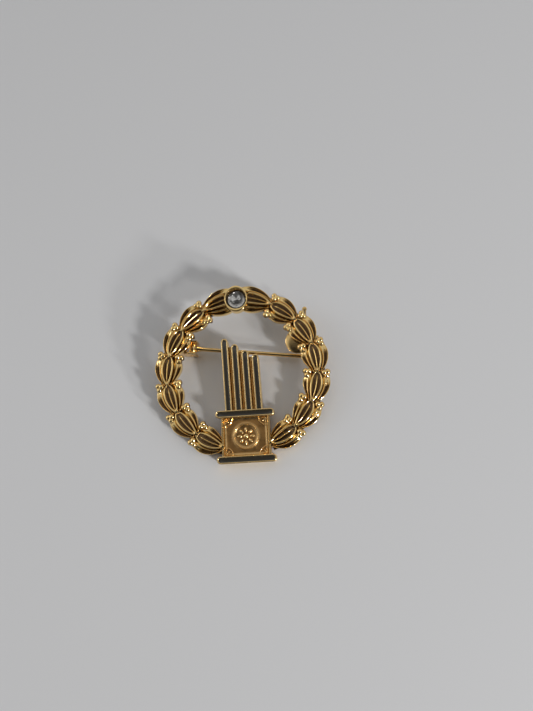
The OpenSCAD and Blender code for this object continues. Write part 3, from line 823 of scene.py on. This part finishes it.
# Pin
# Hard brass wire of 0.7 mm, drawn and ground to a point, soldered into a knuckle that turns on the
# rivet between the ears.
WIRE_R = 0.35
PIN_LEN = 22.9
KNUCKLE_R = 0.68
knuckle_end = EAR_IN - 0.06
knuckle = [
    (-knuckle_end, 0.32), (-knuckle_end, KNUCKLE_R - 0.08), (0.08 - knuckle_end, KNUCKLE_R),
    (knuckle_end - 0.08, KNUCKLE_R), (knuckle_end, KNUCKLE_R - 0.08), (knuckle_end, 0.32),
]
wire = [
    (0.42, 0.01), (0.42, 0.58), (0.8, 0.53), (1.3, 0.42), (1.6, 0.37), (1.85, WIRE_R),
    (PIN_LEN - 3.5, WIRE_R), (PIN_LEN - 2.0, 0.25), (PIN_LEN - 0.8, 0.14), (PIN_LEN - 0.05, 0.06),
    (PIN_LEN, 0.01),
]
piece("pin_wire", [spindle(knuckle, 1), spindle(wire, 0)], plain_gold, "pin", "pin_stem",
      crease=50)

# Catch
# A round domed pad and a foot soldered to the wreath's back carry a slotted barrel. A slotted core
# with a long lever turns in the barrel and shuts the pin's end in.
PAD_AT = (18.4, 2.35)
PAD_R = 2.15
BARREL_AT = 20.4
BARREL_END = BARREL_AT + 1.55
BARREL_R = 1.35
BARREL_SLOT = 0.9
BASE_T = 0.5
CORE_R = 0.9
CORE_AT = 19.72
LEVER_LEN = 8.95
LEVER_LEAN = math.radians(5.9)
LEVER_HALF = 0.27
LEVER_TIP_R = 0.42


def slotted(r_out, r_in, slot):
    """The end view of a tube, as y and z, open at the back over the width of a slot."""
    a_out, a_in = math.degrees(math.asin(slot / 2 / r_out)), math.degrees(math.asin(slot / 2 / r_in))
    outside = arc(0, 0, r_out, a_out - 90, 270 - a_out, 41)
    inside = arc(0, 0, r_in, 270 - a_in, a_in - 90, 31)
    return np.concatenate([outside, inside])


# Depth below the pad's middle and distance in from its brim, from the back edge to the dome
PAD_DOME = [(0.25, 0.08), (0.22, 0.0), (0.16, 0.03), (0.1, 0.16), (0.05, 0.36), (0.015, 0.64), (0.0, 1.0)]
pad_side = [(FOOT_Z - deep, PAD_R - inwards) for deep, inwards in PAD_DOME]
pad = [(FOOT_Z - 0.25, 0.01), *pad_side, (FOOT_Z, 0.01)]
catch = [
    spindle(pad, 2, (*PAD_AT, 0), 64),
    plate(oblong(PAD_AT[0] + 0.6, BARREL_END, 0.95, 3.55), FOOT_Z - BASE_T, FOOT_Z, 0.05, (0, 1, 2)),
    plate(oblong(BARREL_AT, BARREL_END, 0.5, 2.8), FOOT_Z - BASE_T, FOOT_Z, 0.05, (0, 1, 2)),
    plate(slotted(BARREL_R, CORE_R + 0.05, BARREL_SLOT), BARREL_AT, BARREL_END, 0.06, (1, 2, 0)),
]
piece("catch_barrel", catch, plain_gold, "root", "catch_base", crease=50)

lean = np.array([[math.cos(LEVER_LEAN), -math.sin(LEVER_LEAN)], [math.sin(LEVER_LEAN), math.cos(LEVER_LEAN)]])
lever = np.concatenate([
    [(-LEVER_HALF, 0.6), (LEVER_HALF, 0.6), (LEVER_HALF, LEVER_LEN - 0.75)],
    arc(0, LEVER_LEN - LEVER_TIP_R, LEVER_TIP_R, -40, 220, 21), [(-LEVER_HALF, LEVER_LEN - 0.75)],
]) @ lean.T + [CORE_AT + 0.31, 0]
core = [
    plate(slotted(CORE_R, WIRE_R + 0.07, 2 * WIRE_R + 0.13), CORE_AT, BARREL_END, 0.05, (1, 2, 0)),
    plate(lever, -0.26, 0.26, 0.13, (0, 1, 2)),
]
piece("catch_core", core, plain_gold, "catch", "catch_rotor", crease=50)

# Table
# A plain pale table top, painted and matt, which the pin lies on face up. Only its upper face is
# made, 1.2 m wide, so that it runs on past the picture on all sides.
TABLE_HALF = 0.6
table_corners = [(TABLE_HALF * x, TABLE_HALF * y, 0) for x, y in ((-1, -1), (1, -1), (1, 1), (-1, 1))]
table_mesh = bpy.data.meshes.new("table_top")
table_mesh.from_pydata(table_corners, [], [(0, 1, 2, 3)])
# Matt paint: rolled on, so it scatters light evenly and shows soft shadows.
table_mesh.materials.append(new_material("pale_table", "#DADADB", 0.0, 0.55, {})[0])
table_top = bpy.data.objects.new("table_top", table_mesh)
bpy.context.scene.collection.objects.link(table_top)

# Light
# An even pale sky, dimmer near the table and dark where the camera and its holder stand. Two small
# lamps low at the lower right throw the soft double shadow, and a small window stands at the left.
LAMP_AWAY = 0.8
world = bpy.data.worlds.new("studio")
bpy.context.scene.world = world
world.use_nodes = True
sky = world.node_tree
direction = add(sky, "ShaderNodeTexCoord", {}, {}).outputs["Generated"]
height = add(sky, "ShaderNodeSeparateXYZ", {}, {"Vector": direction}).outputs["Z"]
glow = add(sky, "ShaderNodeMapRange", {}, {
    "Value": height, "From Min": 0.0, "From Max": 0.45, "To Min": 0.325, "To Max": 0.512,
}).outputs["Result"]


def darker(towards, start, full, least):
    """A factor that falls smoothly from 1 to the least as the view turns towards a direction."""
    dot = add(sky, "ShaderNodeVectorMath", {"operation": "DOT_PRODUCT"}, {0: direction, 1: towards})
    return add(sky, "ShaderNodeMapRange", {"interpolation_type": "SMOOTHSTEP"}, {
        "Value": dot.outputs["Value"], "From Min": start, "From Max": full, "To Min": 1.0, "To Max": least,
    }).outputs["Result"]


def soft_lamp(name, watts, size, turn, lift):
    """A square lamp that faces the pin, at a compass turn from +x and a lift over the table."""
    data = bpy.data.lights.new(name, "AREA")
    data.energy = watts
    data.size = size
    lamp = bpy.data.objects.new(name, data)
    bpy.context.scene.collection.objects.link(lamp)
    turn, lift = math.radians(turn), math.radians(lift)
    out = LAMP_AWAY * math.cos(lift)
    lamp.location = (out * math.cos(turn), out * math.sin(turn), LAMP_AWAY * math.sin(lift))
    lamp.rotation_euler = (0.0, math.pi / 2 - lift, turn)


overhead = darker((0.05, -0.35, 0.935), 0.84, 0.94, 0.05)
in_front = darker((0.0, -1.0, 0.0), 0.3, 0.7, 0.1)
shade = add(sky, "ShaderNodeMath", {"operation": "MULTIPLY"}, {0: overhead, 1: in_front}).outputs[0]
strength = add(sky, "ShaderNodeMath", {"operation": "MULTIPLY"}, {0: glow, 1: shade}).outputs[0]
sky.links.new(strength, sky.nodes["Background"].inputs["Strength"])
sky.nodes["Background"].inputs["Color"].default_value = rgb("#FFFFFF")
soft_lamp("main_lamp", 2.9, 0.08, -44, 28)
soft_lamp("far_lamp", 1.9, 0.06, -43, 17)
soft_lamp("window", 0.6, 0.3, 165, 28)
bpy.context.scene.view_settings.view_transform = "Standard"
